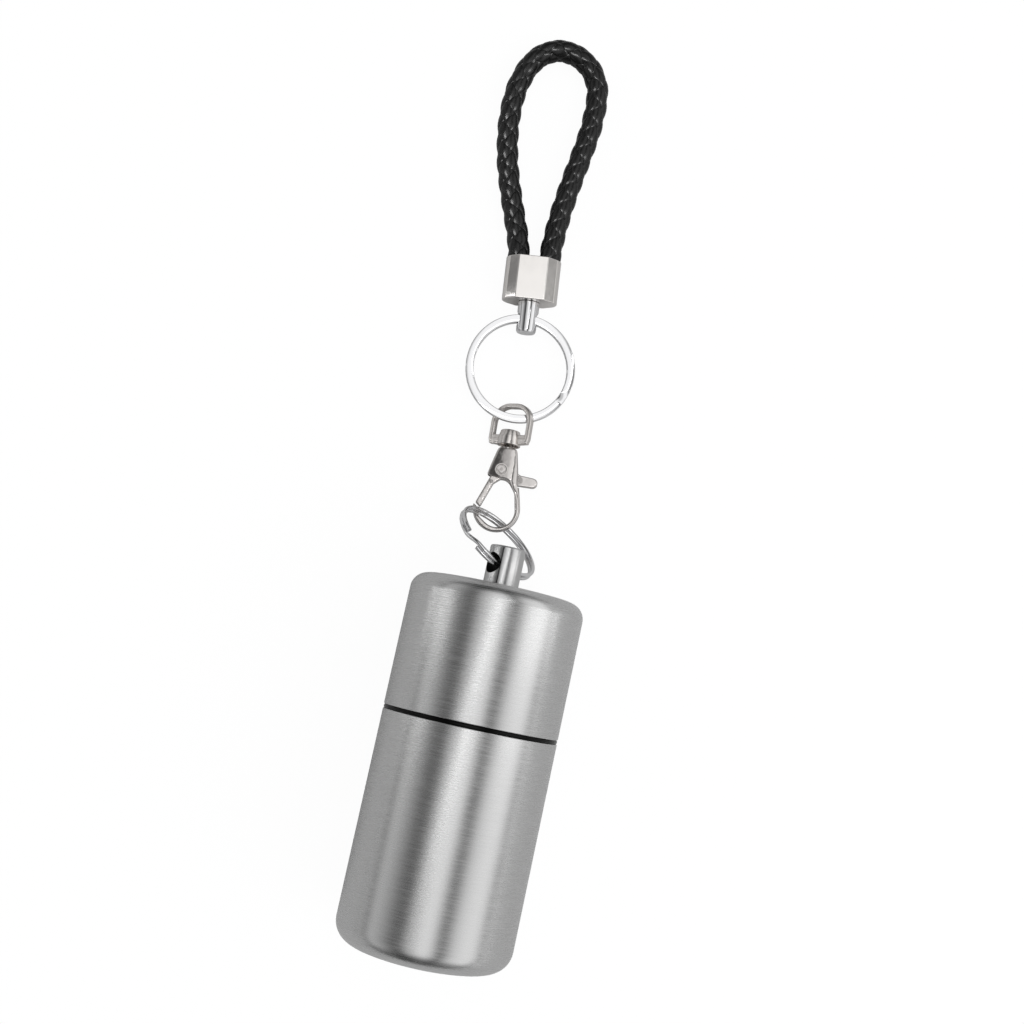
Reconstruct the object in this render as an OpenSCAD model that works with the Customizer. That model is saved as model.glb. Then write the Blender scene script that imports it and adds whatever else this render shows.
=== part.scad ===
// Pill fob keychain: a screw-top metal canister, a split ring through the knob on its cap,
// a lobster clasp on a swivel eye, a flat key ring, and a braided cord loop held in a ferrule.
// Millimetres. X right, Y along the canister towards its cap, Z up from the table it lies on.

/* [Piece] */
// piece to draw, or all of them

/* [Canister] */
// outer diameter of the body and the cap
canister_d = 45; // [40:0.5:50]
// height of the body below the seal
body_h = 57.9; // [45:0.5:75]
// height of the cap above the seal
cap_h = 34.6; // [28:0.5:45]
// wall of the body and of the cap above the thread
wall = 3.2; // [2.8:0.1:4]
// thickness of the body's floor
floor_t = 3; // [2:0.5:5]
// thickness of the cap's top
top_t = 3.5; // [3:0.5:4.5]
// rounding of the edge that the body stands on
base_round = 5.6; // [3:0.2:6]
// rounding of the cap's top edge
top_round = 4.2; // [2:0.2:5]
// rounding of the two edges at the seal
rim_round = 0.3; // [0.2:0.1:0.6]

/* [Screw neck] */
// height of the threaded neck above the seam
neck_h = 9; // [7:0.5:12]
// wall of the neck
neck_t = 1.4; // [1.2:0.1:1.6]
// thickness of the seal between the body and the cap
seal_t = 1; // [0.8:0.1:1.5]
// room between the neck and the cap on each side, for the thread
thread_gap = 0.4; // [0.3:0.05:0.5]

/* [Knob] */
// diameter of the knob
knob_d = 9.2; // [9:0.2:12]
// height of the knob above the cap
knob_h = 10.7; // [10:0.1:13]
// height of the cross hole above the cap
hole_up = 5.9; // [5.7:0.1:6.2]
// diameter of the cross hole
hole_d = 5.4; // [5.4:0.1:5.7]
// turn of the cross hole about the canister's axis, in degrees
hole_turn = 41.5; // [40:0.5:43]

/* [Small split ring] */
// outer diameter
small_ring_d = 25; // [24.5:0.1:25.5]
// wire diameter
small_wire_d = 1.1; // [1:0.05:1.15]
// heading from the knob's hole to the clasp, in degrees from the right
ring_heading = 118.2; // [117:0.2:120]
// roll of the ring about the line from the hole to the clasp
ring_roll = 54.2; // [53.2:0.2:54.8]

/* [Lobster clasp] */
// heading of the clasp to the left of straight ahead, in degrees
clasp_yaw = 2.7; // [1:0.1:5]
// how far the hook's end is raised, in degrees
clasp_pitch = 3.9; // [3:0.1:5]
// thickness of the clasp at the rivet
clasp_t = 4.2; // [4:0.1:4.6]
// thickness of the hook's bar
bar_t = 2.3; // [2:0.1:2.4]
// outer radius of the hook
hook_r = 6.4; // [6.3:0.05:6.6]
// width of the slot that holds the lever
slot_w = 1.9; // [1.8:0.05:2.1]
// thickness of the lever
lever_t = 1.7; // [1.4:0.05:1.7]
// diameter of the rivet
pin_d = 1.6; // [1.2:0.1:1.8]
// turns of the lever's spring
spring_turns = 2.5; // [2:0.5:2.5]
// wire of the lever's spring
spring_wire = 0.22; // [0.2:0.02:0.26]

/* [Swivel eye] */
// outer width of the eye
eye_w = 12.4; // [12.2:0.1:13]
// width of the eye's strip, seen from the front
eye_strip = 1.35; // [1.2:0.05:1.45]
// depth of the eye's strip
eye_deep = 1.9; // [1.7:0.05:1.95]
// roll of the eye about the clasp, right side up, in degrees
eye_roll = 28; // [26:0.5:28]
// diameter of the swivel stud's neck
stud_d = 2.6; // [2.2:0.1:2.8]

/* [Key ring] */
// outer diameter
key_ring_d = 30; // [29:0.5:34]
// width of the strip, seen from the front
key_strip_w = 2.2; // [1.8:0.1:2.2]
// thickness of one turn of the strip
key_strip_t = 1; // [0.8:0.05:1]

/* [Shank and ferrule] */
// heading of the cord's end to the left of straight ahead, in degrees
cord_yaw = 5.7; // [3:0.1:8]
// diameter of the shank at the ferrule
shank_d = 6; // [6:0.1:6.8]
// diameter of the shank at its free end
shank_end_d = 5.4; // [5.2:0.1:6]
// visible length of the shank
shank_l = 8.6; // [8.4:0.1:10]
// diameter of the shank's cross hole
shank_hole_d = 3.7; // [3.6:0.05:3.8]
// width of the ferrule
ferrule_w = 15.2; // [15:0.1:16]
// depth of the ferrule, front to back
ferrule_deep = 9.2; // [9:0.1:10]
// length of the ferrule
ferrule_l = 12.2; // [11:0.1:14]
// width of the ferrule's flat front
ferrule_flat = 8.3; // [7.5:0.1:9]
// diameter of the braided cord
cord_d = 6; // [5.8:0.1:6.1]

/* [Hidden] */
fine = 96;
mid = 48;
small = 24;
fit = 0.05;              // running clearance on a radius
play = 0.1;              // looser clearance between plain faces
eps = 0.01;

// canister, in its own frame: Z along its axis from the middle of the seal
canister_r = canister_d / 2;
body_end = seal_t / 2 + body_h;
cap_end = seal_t / 2 + cap_h;
inner_r = canister_r - wall;
neck_r = inner_r + neck_t;
cap_bore_r = neck_r + thread_gap;
cap_bore_end = seal_t / 2 + neck_h + 0.2;
seal_in_r = neck_r + fit;
seal_out_r = canister_r - play;

// knob, its spigot through the cap and the screw that holds it
knob_r = knob_d / 2;
knob_round = 0.5;
spigot_r = 2.5;
spigot_short = 0.2;      // the spigot ends this far above the cap's inner face
screw_r = 1.45;
screw_grip = 2.2;        // reach of the screw into the knob above the cap
screw_head_r = 2.9;
screw_head_h = 1.8;
washer_r = 4;
washer_t = 0.8;
hole_z = cap_end + hole_up;

// small split ring: its wire passes the knob's hole, and its far side passes the hook
turn_gap = 0.06;         // between the two turns
small_r = (small_ring_d - small_wire_d) / 2;
small_lift = (small_wire_d + turn_gap) / 2;
small_step_at = -56;
small_step_span = 18;
hook_at = 187;           // angle on the ring from the knob's hole to the hook
hole_offset = [0, -0.8, 0.3];
hook_z = 5.65;           // height at which the ring passes the hook
hole_point = [0, hole_z, canister_r] + hole_offset;
ring_chord = 2 * small_r * sin(hook_at / 2);
ring_pitch = asin((hole_point.z - hook_z) / ring_chord);
hook_point = hole_point + ring_chord * [
    cos(ring_pitch) * cos(ring_heading),
    cos(ring_pitch) * sin(ring_heading),
    -sin(ring_pitch)
];

// clasp, in its own frame: the swivel's face at the origin, the hook down -Y, Z to the front
hook_seat = [-2.4, -19.8, 0];        // where the small ring passes the opening
clasp_x = turn([-clasp_pitch, 0, clasp_yaw], [1, 0, 0]);
clasp_y = turn([-clasp_pitch, 0, clasp_yaw], [0, 1, 0]);
clasp_point = hook_point - hook_seat.x * clasp_x - hook_seat.y * clasp_y;
hook_c = [-0.3, -17.7];
rivet = [-0.66, -7.21];
collar_r = 1.9;
collar_top = -0.5;
collar_h = 2.2;
nose = [-6.9, -16.9];                // outer corner of the hook's nose
nose_turn = -38.8;                   // heading of the nose's end face
nose_gap = 0.5;                      // from the nose to the lever's tip
reach = 12;                          // past both sides of the clasp, for cuts
clasp_l = 30;
cheek_end = -9;                      // where the cheeks start to thin
bar_start = -15;                     // where they reach the bar's thickness
gateway_x = -2.4;
gateway_top = -10;
slot_top = -4.3;
slot_end = -11.2;
boss_r = 1.8;
boss_h = 0.15;
rivet_head_r = 1.15;
rivet_head_h = 0.25;
spring_x = 1.9;
spring_r = 0.52;
spring_low = -6.36;
spring_pitch = (slot_top - fit - spring_low - spring_wire) / spring_turns;
hook_outline = [[2, -1.7, 0.8], [-1.8, -1.7, 0.8], [-2.9, -8.6, 1.6], [hook_c.x, hook_c.y, hook_r]];
hook_opening = [[-1.5, -12, 2.1], [-3.3, -18.7, 2.25], [0.05, -18.2, 4.65], [1.6, -13.6, 2.3]];
lever_gate = [[rivet.x, rivet.y, 1.9], [-2.95, -10.6, 0.87], [-5.4, -17.2, 0.87]];
lever_tab = [[rivet.x, rivet.y, 1.9], [4.3, -9.2, 1.5], [8.2, -9.3, 1.35]];

// swivel eye
eye_r = eye_w / 2;
eye_bend = 4.6;                      // outer radius of the eye's two bends
eye_c = 7.3;                         // height of the bends' centres
eye_foot = 0.8;
eye_plate = 1.3;
hub_r = 3.3;
hub_top_r = 2.8;
hub_h = 3.5;
hub_cup_r = 2.75;
hub_cup = 1.2;
stud_head_r = 2;
stud_head_h = 0.8;

// key ring: it passes the eye under its arch and the shank through its cross hole
key_lift = (key_strip_t + turn_gap) / 2;
key_r = (key_ring_d - key_strip_w) / 2;
key_step_at = -22;
key_step_span = 14;
eye_at = -86;                        // angle on the key ring at the eye
shank_at = 94.4;                     // angle on the key ring at the shank
eye_cross_y = 7.75;                  // where the ring passes the eye, up from the swivel
eye_cross = clasp_point + eye_cross_y * clasp_y;
key_roll = 4;                        // the ring's left side lies on the eye's foot
shank_z = ferrule_deep / 2;
key_tilt = asin(
    ((shank_z - eye_cross.z) / key_r + (cos(shank_at) - cos(eye_at)) * sin(key_roll))
        / ((sin(shank_at) - sin(eye_at)) * cos(key_roll))
);
key_turn = [key_tilt, key_roll, 0];
key_c = eye_cross - turn(key_turn, key_r * [cos(eye_at), sin(eye_at), 0]);

// shank and ferrule: the ferrule's frame starts at the middle of its bottom face
hole_from_ferrule = 4.7;
shank_point = key_c + turn(key_turn, key_r * [cos(shank_at), sin(shank_at), 0]);
ferrule_point = shank_point + hole_from_ferrule * [-sin(cord_yaw), cos(cord_yaw), 0];
shank_neck_r = 1.8;
shank_head_r = 2.7;
shank_head_h = 1;
ferrule_floor = 1.8;
ferrule_corner = 0.4;
cord_x = ferrule_w / 2 - 3.45;       // each end of the cord, off the ferrule's middle
cord_r = cord_d / 2;
cord_seat = 3.4;                     // the cord's ends, above the ferrule's bottom
squeeze = 0.04;                      // the ferrule grips the cord by this much
ferrule_end = 3.4;                   // radius of the ferrule's narrow sides

// the row's origin is under the middle of the whole object, without the cord
ferrule_top_y = ferrule_point.y + ferrule_l * cos(cord_yaw) + ferrule_w / 2 * sin(cord_yaw);
seam_y = -(ferrule_top_y - body_end) / 2;

// middle line of the cord in the ferrule's frame: across, along, height
cord_route = [
    [-cord_x, cord_seat, shank_z], [-cord_x, 8, shank_z], [-4.3, 12.6, 4.5], [-5.3, 18.7, 3.6],
    [-7.4, 26.6, 3.1], [-9.4, 34.5, 3.05], [-10.8, 42.2, 3.05], [-11.4, 52.4, 3.05],
    [-10, 62.6, 3.05], [-5.9, 70.6, 3.05], [0.8, 73.85, 3.05], [8, 71.2, 3.05],
    [12.1, 64.2, 3.05], [11.9, 54, 3.05], [10, 44.6, 3.05], [8, 36.4, 3.05],
    [6.2, 28.1, 3.1], [4.9, 19.9, 3.6], [4.25, 12.6, 4.5], [cord_x, 8, shank_z],
    [cord_x, cord_seat, shank_z]
];
cord_steps = 2;                      // rings of the tube from one route point to the next

bright = [0.86, 0.85, 0.84];
grey = [0.62, 0.62, 0.62];
black = [0.09, 0.09, 0.09];

// Helpers

// a vector turned as rotate() turns it
function turn(a, v) =
    let (x = [v.x, v.y * cos(a.x) - v.z * sin(a.x), v.y * sin(a.x) + v.z * cos(a.x)])
    let (y = [x.x * cos(a.y) + x.z * sin(a.y), x.y, -x.x * sin(a.y) + x.z * cos(a.y)])
    [y.x * cos(a.z) - y.y * sin(a.z), y.x * sin(a.z) + y.y * cos(a.z), y.z];

// outer tangent of two circles [x, y, r], anticlockwise
function tangent(a, b) =
    let (d = [b.x - a.x, b.y - a.y], l = norm(d), u = d / l, s = (b.z - a.z) / l)
    let (n = [u.y, -u.x] * sqrt(1 - s * s) - u * s)
    [[a.x, a.y] + a.z * n, [b.x, b.y] + b.z * n];

// outline around a convex run of circles [x, y, r], given anticlockwise
module belt(circles) {
    last = len(circles) - 1;
    for (c = circles) {
        translate([c.x, c.y]) circle(c.z, $fn = mid);
    }
    polygon([for (i = [0:last]) each tangent(circles[i], circles[i == last ? 0 : i + 1])]);
}

// the tightest outline around a group of circles
module around(circles) {
    hull() for (c = circles) translate([c.x, c.y]) circle(c.z, $fn = mid);
}

// a bent arm that follows a run of circles
module arm(circles) {
    for (i = [1:len(circles) - 1]) belt([circles[i - 1], circles[i]]);
}

// half section of a round block: one rounding at its foot, another at its head
module block_profile(r, h, foot, head) {
    square([r - foot, h - head]);
    translate([0, foot]) square([r, h - foot - head]);
    square([r - head, h]);
    translate([r - foot, foot]) circle(foot, $fn = mid);
    translate([r - head, h - head]) circle(head, $fn = small);
}

// smooth curve through a run of points
function curve_at(p, i, t) =
    let (a = p[max(i - 1, 0)], b = p[i], c = p[i + 1], d = p[min(i + 2, len(p) - 1)])
    0.5 * (2 * b + (c - a) * t + (2 * a - 5 * b + 4 * c - d) * t * t
        + (3 * b - a - 3 * c + d) * t * t * t);
function curve(p, steps) = [
    for (i = [0:len(p) - 2]) for (k = [0:steps - 1]) curve_at(p, i, k / steps),
    p[len(p) - 1]
];

// one closed tube along a path, its rings kept level with the direction up
module tube(path, r, sides, up) {
    last = len(path) - 1;
    rings = [
        for (i = [0:last])
            let (t = path[min(i + 1, last)] - path[max(i - 1, 0)])
            let (across = cross(t, up) / norm(cross(t, up)), over = cross(across, t) / norm(t))
            for (k = [0:sides - 1])
                path[i] + r * (cos(360 * k / sides) * across + sin(360 * k / sides) * over)
    ];
    walls = [
        for (i = [0:last - 1]) for (k = [0:sides - 1])
            let (n = (k + 1) % sides, a = i * sides)
            [a + k, a + n, a + n + sides, a + k + sides]
    ];
    polyhedron(rings, concat(
        [[for (k = [sides - 1:-1:0]) k]],
        walls,
        [[for (k = [0:sides - 1]) last * sides + k]]
    ));
}

// two flat turns of one strand joined by a short step; the strand's section is the child
module split_ring(r, lift, step_at, step_span) {
    end_gap = 2;
    half = step_span / 2;
    rise = atan2(2 * lift, 2 * r * sin(half));
    rotate(step_at + half + end_gap) translate([0, 0, -lift])
        rotate_extrude(angle = 360 - step_span - end_gap, $fn = fine) translate([r, 0]) children();
    rotate(step_at + half) translate([0, 0, lift])
        rotate_extrude(angle = 360 - step_span - end_gap, $fn = fine) translate([r, 0]) children();
    rotate(step_at) translate([r * cos(half), 0, 0]) rotate([rise - 90, 0, 0])
        linear_extrude(2 * r * sin(half) / cos(rise) + 2 * lift, center = true)
            scale(0.96) children();
}

// Frames

module at_canister() {
    translate([0, seam_y, canister_r]) rotate([-90, 0, 0]) children();
}

module at_hole() {
    at_canister() translate([0, 0, hole_z]) rotate([0, 90, hole_turn]) children();
}

module at_small_ring() {
    translate([0, seam_y, 0] + hole_point) rotate([ring_roll, ring_pitch, ring_heading])
        rotate(-90 - hook_at / 2) translate([-small_r, 0, 0]) children();
}

module at_clasp() {
    translate([0, seam_y, 0] + clasp_point) rotate([-clasp_pitch, 0, clasp_yaw]) children();
}

module at_eye() {
    at_clasp() rotate([0, -eye_roll, 0]) children();
}

module at_key_ring() {
    translate([0, seam_y, 0] + key_c) rotate(key_turn) children();
}

// the ferrule's frame, Z along its length
module at_ferrule() {
    translate([0, seam_y, 0] + ferrule_point) rotate([-90, 0, cord_yaw]) children();
}

// Canister

module canister_body() color(grey) at_canister() difference() {
    union() {
        translate([0, 0, -body_end])
            rotate_extrude($fn = fine) block_profile(canister_r, body_h, base_round, rim_round);
        translate([0, 0, -seal_t]) cylinder(r = neck_r, h = neck_h + seal_t, $fn = fine);
    }
    translate([0, 0, -body_end + floor_t])
        cylinder(r = inner_r, h = body_end + neck_h, $fn = fine);
}

module neck_seal() color(black) at_canister() difference() {
    translate([0, 0, -seal_t / 2]) rotate_extrude($fn = fine) {
        square([seal_out_r - seal_t / 2, seal_t]);
        translate([seal_out_r - seal_t / 2, seal_t / 2]) circle(seal_t / 2, $fn = small);
    }
    cylinder(r = seal_in_r, h = 2 * seal_t, center = true, $fn = fine);
}

module cap_shell() color(grey) at_canister() difference() {
    translate([0, 0, cap_end]) rotate([180, 0, 0])
        rotate_extrude($fn = fine) block_profile(canister_r, cap_h, top_round, rim_round);
    cylinder(r = cap_bore_r, h = cap_bore_end, $fn = fine);
    cylinder(r = inner_r, h = cap_end - top_t, $fn = fine);
    cylinder(r = spigot_r + fit, h = cap_end + top_t, $fn = mid);
}

// Knob

module cap_knob() color(grey) difference() {
    at_canister() translate([0, 0, cap_end]) {
        rotate_extrude($fn = mid) block_profile(knob_r, knob_h, eps, knob_round);
        translate([0, 0, spigot_short - top_t]) cylinder(r = spigot_r, h = top_t, $fn = mid);
    }
    at_hole() cylinder(d = hole_d, h = 2 * knob_d, center = true, $fn = mid);
    at_canister() translate([0, 0, cap_end - top_t])
        cylinder(r = screw_r + fit, h = top_t + screw_grip + play, $fn = small);
}

module knob_washer() color(black) at_canister() translate([0, 0, cap_end - top_t - washer_t])
    difference() {
        cylinder(r = washer_r, h = washer_t, $fn = mid);
        translate([0, 0, -eps]) cylinder(r = screw_r + play, h = washer_t + 1, $fn = small);
    }

module knob_screw() color(bright) at_canister()
    translate([0, 0, cap_end - top_t - washer_t - screw_head_h]) difference() {
        union() {
            rotate([180, 0, 0]) translate([0, 0, -screw_head_h])
                rotate_extrude($fn = mid) block_profile(screw_head_r, screw_head_h, 0.1, 0.6);
            cylinder(r = screw_r, h = screw_head_h + washer_t + top_t + screw_grip, $fn = small);
        }
        translate([0, 0, -eps]) cylinder(d = 2.3, h = 1.1, $fn = 6);
    }

// Rings

module small_split_ring() color(bright) at_small_ring()
    split_ring(small_r, small_lift, small_step_at, small_step_span)
        circle(d = small_wire_d, $fn = small);

module key_ring() color(bright) at_key_ring()
    split_ring(key_r, key_lift, key_step_at, key_step_span)
        square([key_strip_w, key_strip_t], center = true);

// Clasp

// everything above the nose's end face, seen from the front
module above_nose(gap) {
    translate(nose) rotate(nose_turn) translate([-2, gap]) square([6, 8]);
}

// thickness of the clasp along its length, as a block
module clasp_thickness() {
    rotate([90, 0, 90]) linear_extrude(2 * reach, center = true) polygon([
        [0, clasp_t / 2], [cheek_end, clasp_t / 2], [bar_start, bar_t / 2], [-clasp_l, bar_t / 2],
        [-clasp_l, -bar_t / 2], [bar_start, -bar_t / 2], [cheek_end, -clasp_t / 2], [0, -clasp_t / 2]
    ]);
}

module hook_body() color(bright) at_clasp() difference() {
    union() {
        intersection() {
            linear_extrude(clasp_t, center = true) difference() {
                around(hook_outline);
                around(hook_opening);
                intersection() {
                    above_nose(0);
                    translate([-reach, nose.y - 2])
                        square([reach + gateway_x, gateway_top - nose.y + 2]);
                }
            }
            clasp_thickness();
        }
        translate([0, collar_top, 0]) rotate([90, 0, 0]) cylinder(r = collar_r, h = collar_h, $fn = mid);
        translate([0, collar_top - 1, 0]) rotate([-90, 0, 0])
            cylinder(d = stud_d, h = hub_h - collar_top + 1 + stud_head_h, $fn = small);
        translate([0, hub_h + fit, 0]) rotate([-90, 0, 0])
            cylinder(r = stud_head_r, h = stud_head_h, $fn = mid);
        translate([rivet.x, rivet.y, 0])
            cylinder(r = boss_r, h = clasp_t + 2 * boss_h, center = true, $fn = mid);
    }
    translate([-reach, slot_end, -slot_w / 2]) cube([2 * reach, slot_top - slot_end, slot_w]);
    translate([rivet.x, rivet.y, 0])
        cylinder(d = pin_d + 0.04, h = 2 * clasp_t, center = true, $fn = small);
}

module gate_lever() color(bright) at_clasp() difference() {
    linear_extrude(lever_t, center = true) {
        arm(lever_tab);
        difference() {
            arm(lever_gate);
            translate(nose) rotate(nose_turn) translate([-5, nose_gap - 8]) square([10, 8]);
        }
    }
    translate([rivet.x, rivet.y, 0])
        cylinder(d = pin_d + 2 * fit, h = 2 * lever_t, center = true, $fn = small);
}

module gate_pin() color(bright) at_clasp() translate([rivet.x, rivet.y, 0]) {
    cylinder(d = pin_d, h = clasp_t + 2 * boss_h, center = true, $fn = small);
    for (side = [0, 180]) {
        rotate([side, 0, 0]) translate([0, 0, clasp_t / 2 + boss_h])
            cylinder(r = rivet_head_r, h = rivet_head_h, $fn = mid);
    }
}

module gate_spring() color(bright) at_clasp() {
    per_turn = 16;
    echo(least_gap = spring_pitch - spring_wire);
    translate([spring_x, spring_low + spring_wire / 2, 0]) tube([
        for (i = [0:spring_turns * per_turn])
            let (a = 360 * i / per_turn)
            [spring_r * sin(a), spring_pitch * i / per_turn, spring_r * cos(a)]
    ], spring_wire / 2, 8, [0, 1, 0]);
}

// outline of the eye: straight legs on a foot, two bends and a short top
module arch(r, bend, foot) {
    translate([-r, foot]) square([2 * r, eye_c - foot]);
    translate([bend - r, foot]) square([2 * (r - bend), eye_c + bend - foot]);
    for (side = [-1, 1]) intersection() {
        translate([side * (r - bend), eye_c]) circle(bend, $fn = mid);
        translate([-r, foot]) square([2 * r, 2 * eye_c]);
    }
}

module swivel_eye() color(bright) at_eye() difference() {
    union() {
        linear_extrude(eye_deep, center = true) difference() {
            arch(eye_r, eye_bend, eye_foot);
            arch(eye_r - eye_strip, eye_bend - eye_strip, eye_foot + eye_plate);
        }
        rotate([-90, 0, 0]) cylinder(r1 = hub_r, r2 = hub_top_r, h = hub_h, $fn = mid);
    }
    rotate([-90, 0, 0]) translate([0, 0, -eps]) cylinder(r = hub_cup_r, h = hub_cup, $fn = mid);
    rotate([-90, 0, 0]) cylinder(d = stud_d + 2 * play, h = 2 * hub_h, $fn = small);
}

// Cord end

module ring_shank() color(bright) at_ferrule() difference() {
    union() {
        translate([0, 0, -play]) rotate([180, 0, 0])
            cylinder(d1 = shank_d, d2 = shank_end_d, h = shank_l - play - 0.5, $fn = mid);
        translate([0, 0, -shank_l])
            cylinder(d1 = shank_end_d - 1, d2 = shank_end_d, h = 0.5 + eps, $fn = mid);
        translate([0, 0, -1]) cylinder(r = shank_neck_r, h = ferrule_floor + 1.5, $fn = small);
        translate([0, 0, ferrule_floor + fit])
            cylinder(r = shank_head_r, h = shank_head_h, $fn = mid);
    }
    translate([0, 0, -hole_from_ferrule]) rotate([0, 90, key_roll])
        cylinder(d = shank_hole_d, h = 2 * shank_d, center = true, $fn = mid);
}

module ferrule() color(bright) at_ferrule() difference() {
    side = ferrule_w / 2 - ferrule_end;
    edge = ferrule_flat / 2 - ferrule_corner;
    deep = ferrule_deep / 2 - ferrule_corner;
    linear_extrude(ferrule_l) belt([
        [side, 0, ferrule_end], [edge, deep, ferrule_corner], [-edge, deep, ferrule_corner],
        [-side, 0, ferrule_end], [-edge, -deep, ferrule_corner], [edge, -deep, ferrule_corner]
    ]);
    translate([0, 0, ferrule_floor]) linear_extrude(ferrule_l)
        belt([[cord_x, 0, cord_r - squeeze], [-cord_x, 0, cord_r - squeeze]]);
    translate([0, 0, -eps])
        cylinder(r = shank_neck_r + play, h = ferrule_floor + 1, $fn = small);
}

module cord_loop() color(black)
    translate([0, seam_y, 0] + [ferrule_point.x, ferrule_point.y, 0]) rotate(cord_yaw)
        tube(curve(cord_route, cord_steps), cord_r, 12, [0, 0, 1]);

canister_body();
neck_seal();
cap_shell();
cap_knob();
knob_washer();
knob_screw();
small_split_ring();
hook_body();
gate_lever();
gate_pin();
gate_spring();
swivel_eye();
key_ring();
ring_shank();
ferrule();
cord_loop();
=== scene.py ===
"""Looks of the pill fob keychain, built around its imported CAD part.

Lengths are in millimetres in the row's frame until a mesh is made, which is in metres. Angles are
in degrees, and only the starts of the thread and of the braid's strips are in radians.
"""

import math

import bmesh
import bpy
import numpy as np
from mathutils import Matrix, Vector
from mathutils.geometry import delaunay_2d_cdt


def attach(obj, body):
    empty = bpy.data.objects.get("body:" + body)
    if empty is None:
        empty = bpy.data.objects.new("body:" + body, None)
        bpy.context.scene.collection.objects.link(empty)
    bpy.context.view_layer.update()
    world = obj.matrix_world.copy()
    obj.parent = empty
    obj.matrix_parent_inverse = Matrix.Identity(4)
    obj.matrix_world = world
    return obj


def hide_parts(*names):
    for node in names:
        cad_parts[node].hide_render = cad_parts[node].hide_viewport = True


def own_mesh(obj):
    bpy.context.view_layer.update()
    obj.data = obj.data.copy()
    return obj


MM = 0.001
FULL = 2 * math.pi

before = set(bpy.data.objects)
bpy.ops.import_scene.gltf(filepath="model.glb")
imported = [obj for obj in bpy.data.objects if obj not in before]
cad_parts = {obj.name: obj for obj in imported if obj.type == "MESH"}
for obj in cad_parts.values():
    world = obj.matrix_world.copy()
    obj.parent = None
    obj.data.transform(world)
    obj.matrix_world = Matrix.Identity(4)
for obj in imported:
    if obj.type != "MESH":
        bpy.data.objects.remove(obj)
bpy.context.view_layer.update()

# --- canister body ---
# A tube drawn from aluminium and turned outside, with a rounded base and a plain bore. Above its
# shoulder stands a thinner neck, which carries a thread of two starts for the cap.

CANISTER_R, INNER_R = 22.5, 19.3
SEAM_Y = -34.635
BODY_END, BODY_FLOOR = 58.4, 3.0
NECK_R, NECK_END = 20.7, 9.0
THREAD_LEAD, THREAD_DEPTH = 4.0, 0.33
SEGMENTS, SHARP = 192, 32.0


def turn(x, y, z):
    """Rotation about X, then Y, then Z, as the product of the three plane rotations."""
    a, b, c = (math.radians(v) for v in (x, y, z))
    rx = np.array([[1, 0, 0], [0, math.cos(a), -math.sin(a)], [0, math.sin(a), math.cos(a)]])
    ry = np.array([[math.cos(b), 0, math.sin(b)], [0, 1, 0], [-math.sin(b), 0, math.cos(b)]])
    rz = np.array([[math.cos(c), -math.sin(c), 0], [math.sin(c), math.cos(c), 0], [0, 0, 1]])
    return rz @ ry @ rx


class Place:
    """Where a piece sits: an origin, and its own axes as columns."""

    def __init__(self, origin, axes):
        self.origin = np.array(origin, float)
        self.axes = np.array(axes, float)

    def at(self, points):
        """Points of the piece's own frame in the row's frame: axes times point, plus origin."""
        return np.asarray(points, float) @ self.axes.T + self.origin

    def then(self, offset, *angles):
        """A place at an offset within this one, turned from it by three angles."""
        return Place(self.at(offset), self.axes @ turn(*angles))

    def turned(self, *angles):
        """The same origin with turned axes."""
        return Place(self.origin, self.axes @ turn(*angles))


CANISTER = Place((0, SEAM_Y, CANISTER_R), turn(-90, 0, 0))


def rounded(corners, closed=False, steps=6):
    """A run of corners (x, y, radius) as points. A corner with a radius becomes an arc about the
    point that is one radius from both its sides, between the points where it touches them."""
    out = []
    n = len(corners)
    for i, (x, y, r) in enumerate(corners):
        p = np.array([x, y], float)
        if r <= 0 or (not closed and i in (0, n - 1)):
            out.append(p[None])
            continue
        u = np.array(corners[i - 1][:2], float) - p
        v = np.array(corners[(i + 1) % n][:2], float) - p
        u /= np.linalg.norm(u)
        v /= np.linalg.norm(v)
        half = math.acos(np.clip(u @ v, -1, 1)) / 2
        centre = p + (u + v) / np.linalg.norm(u + v) * r / math.sin(half)
        first = p + u * r / math.tan(half) - centre
        last = p + v * r / math.tan(half) - centre
        start = math.atan2(first[1], first[0])
        swing = (math.atan2(last[1], last[0]) - start + math.pi) % FULL - math.pi
        a = start + swing * np.arange(steps + 1) / steps
        out.append(centre + r * np.column_stack([np.cos(a), np.sin(a)]))
    return np.concatenate(out)


def skin(rows, closed=False):
    """Points and faces of a surface through rows of points, each row closed on itself. The rows
    also close into a ring if asked, and otherwise the first and the last are capped."""
    rows = np.asarray(rows, float)
    n, m = rows.shape[:2]
    row = np.arange(n if closed else n - 1)[:, None]
    column = np.arange(m)[None, :]
    after, beside = (row + 1) % n, (column + 1) % m
    quads = np.stack(
        [row * m + column, row * m + beside, after * m + beside, after * m + column], axis=-1
    )
    faces = quads.reshape(-1, 4).tolist()
    if not closed:
        faces += [list(range(m))[::-1], list(range((n - 1) * m, n * m))]
    return rows.reshape(-1, 3), faces


def revolve(profile, place, segments, closed=False):
    """A profile of (radius, height) turned about the place's Z axis: at angle a a point lies at
    (radius times cos a, radius times sin a, height)."""
    a = np.linspace(0, FULL, segments, endpoint=False)
    r, z = np.hsplit(np.asarray(profile, float), 2)
    return skin(place.at(np.stack([r * np.cos(a), r * np.sin(a), z + 0 * a], axis=-1)), closed)


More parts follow.
